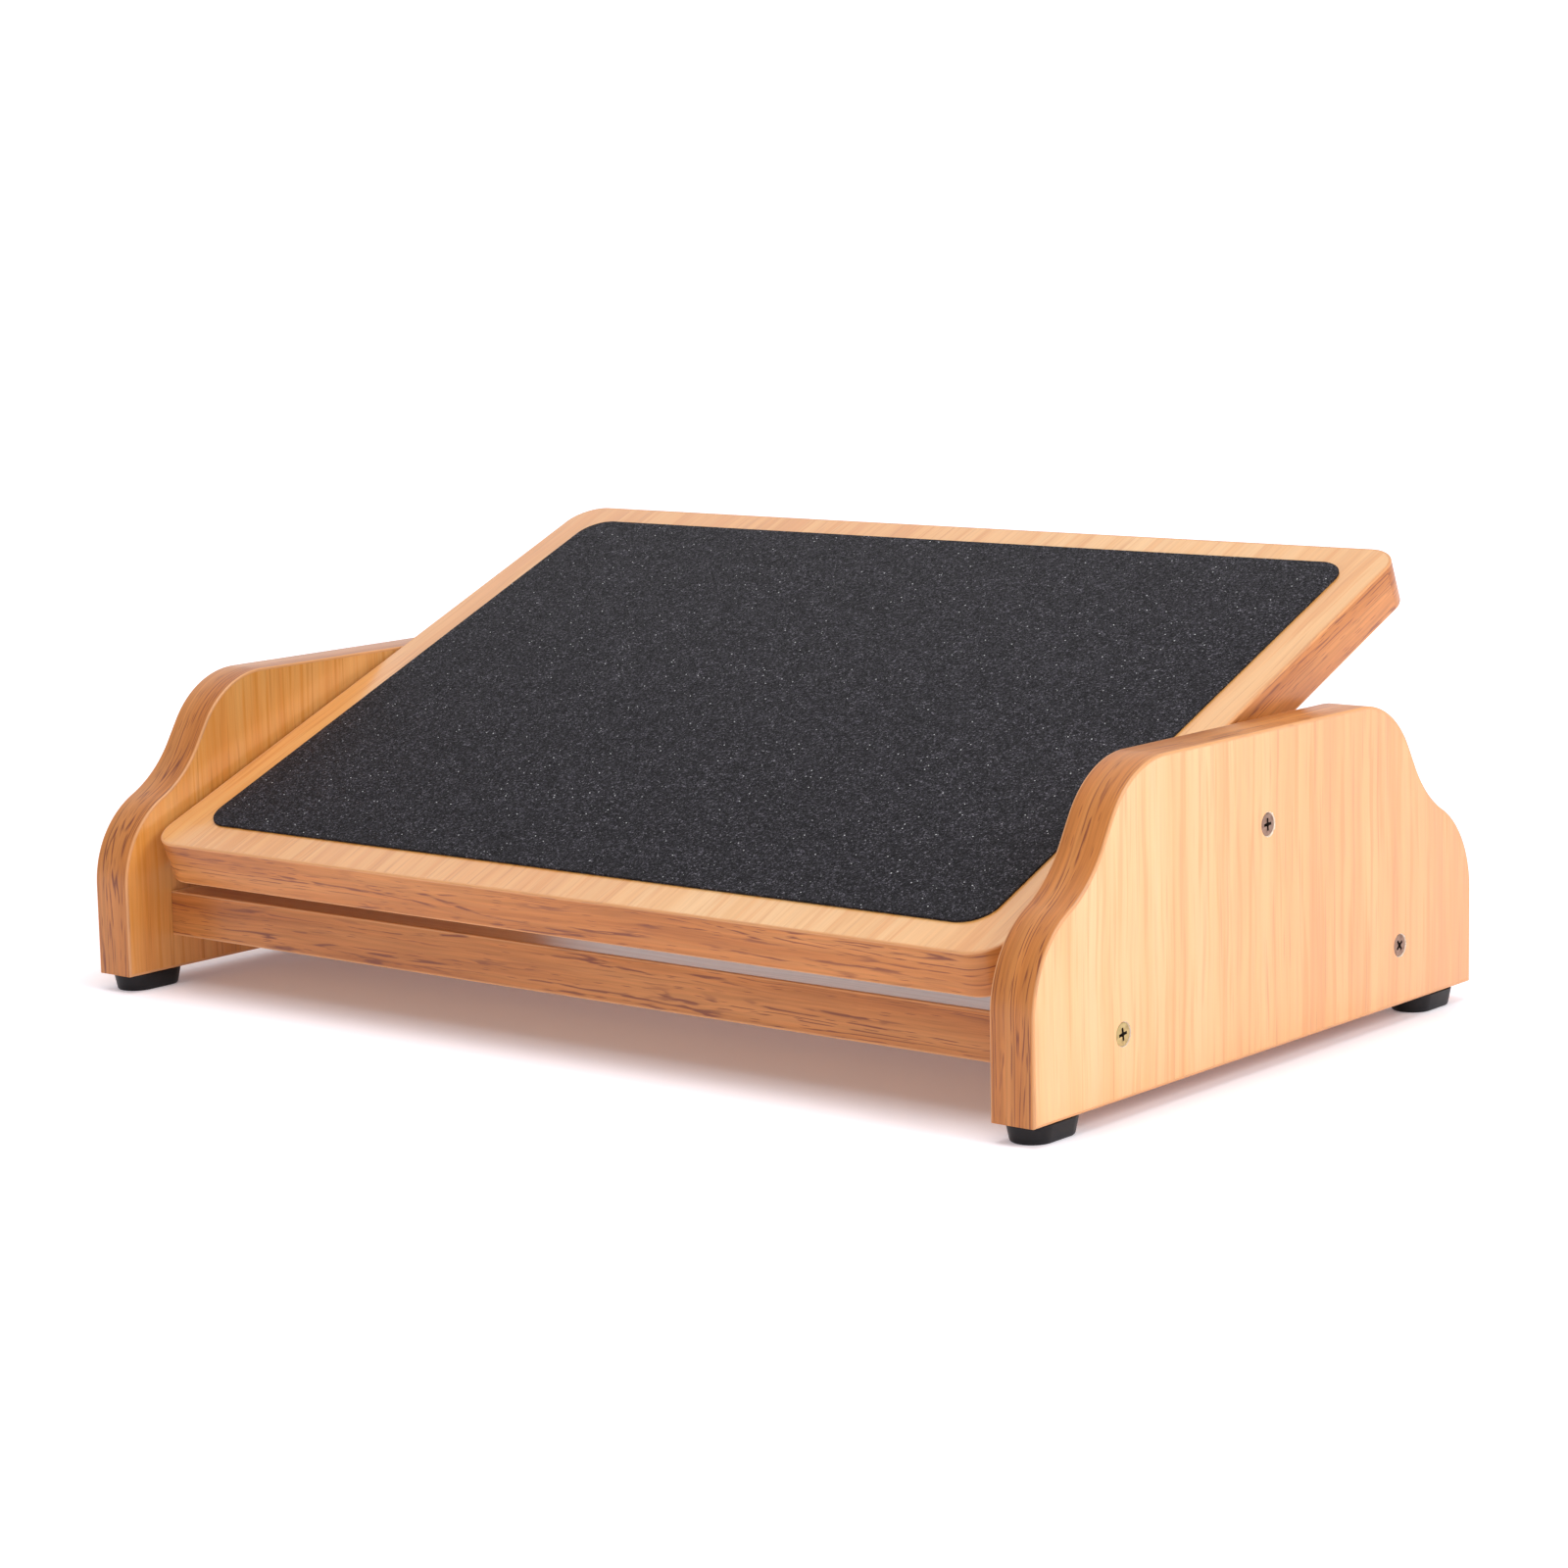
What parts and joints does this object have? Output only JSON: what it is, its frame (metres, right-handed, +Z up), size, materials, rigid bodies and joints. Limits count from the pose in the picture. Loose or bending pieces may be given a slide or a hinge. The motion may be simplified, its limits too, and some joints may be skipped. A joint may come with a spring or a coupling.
{
  "type": "slant board",
  "caption": "Wooden tilting foot and calf-stretch board: a gripped tread that pivots between two ogee side panels on low cross rails with rubber feet.",
  "frame": {"origin": "on the floor under the feet, midway between the side panels and midway between their front and rear edges", "axes": "+X towards the right-hand side panel, +Y towards the rear, +Z up; at rest the tread's front edge is down"},
  "size_m": [0.46, 0.286, 0.1728],
  "materials": {
    "laminate": "satin pale wood-grain laminate",
    "edging": "satin brown oak-grain edge strip",
    "grip": "charcoal mineral-grit anti-slip sheet",
    "rubber": "black moulded rubber",
    "brass": "yellow zinc-plated screw",
    "steel": "brown-tinted plated screw",
    "beech": "plain fluted beech",
    "nylon": "dark moulded nylon"
  },
  "bodies": {
    "base": {"side_panel_left": "laminate", "side_edging_left": "edging", "foot_front_left": "rubber", "foot_screw_front_left": "steel", "rail_screw_front_left": "brass", "dowel_front_left_1": "beech", "dowel_front_left_2": "beech", "foot_rear_left": "rubber", "foot_screw_rear_left": "steel", "rail_screw_rear_left": "steel", "dowel_rear_left_1": "beech", "dowel_rear_left_2": "beech", "side_panel_right": "laminate", "side_edging_right": "edging", "foot_front_right": "rubber", "foot_screw_front_right": "steel", "rail_screw_front_right": "brass", "dowel_front_right_1": "beech", "dowel_front_right_2": "beech", "foot_rear_right": "rubber", "foot_screw_rear_right": "steel", "rail_screw_rear_right": "steel", "dowel_rear_right_1": "beech", "dowel_rear_right_2": "beech", "front_rail": "laminate", "front_rail_edging_front": "edging", "front_rail_edging_rear": "edging", "rear_rail": "laminate", "rear_rail_edging_front": "edging", "rear_rail_edging_rear": "edging"},
    "tread": {"tread_board": "laminate", "tread_edging": "edging", "grip_sheet": "grip", "pivot_batten": "laminate", "batten_edging_front": "edging", "batten_edging_rear": "edging", "batten_screw_1": "steel", "batten_screw_2": "steel", "batten_screw_3": "steel", "batten_screw_4": "steel", "pivot_screw_left": "steel", "pivot_spacer_left": "nylon", "pivot_screw_right": "steel", "pivot_spacer_right": "nylon"}
  },
  "joints": [
    {"name": "tread_tilt", "type": "hinge", "parent": "base", "child": "tread", "pos_m": [0, 0, 0.0885], "axis": [1, 0, 0], "range_deg": [-49.1, 3.5]}
  ]
}
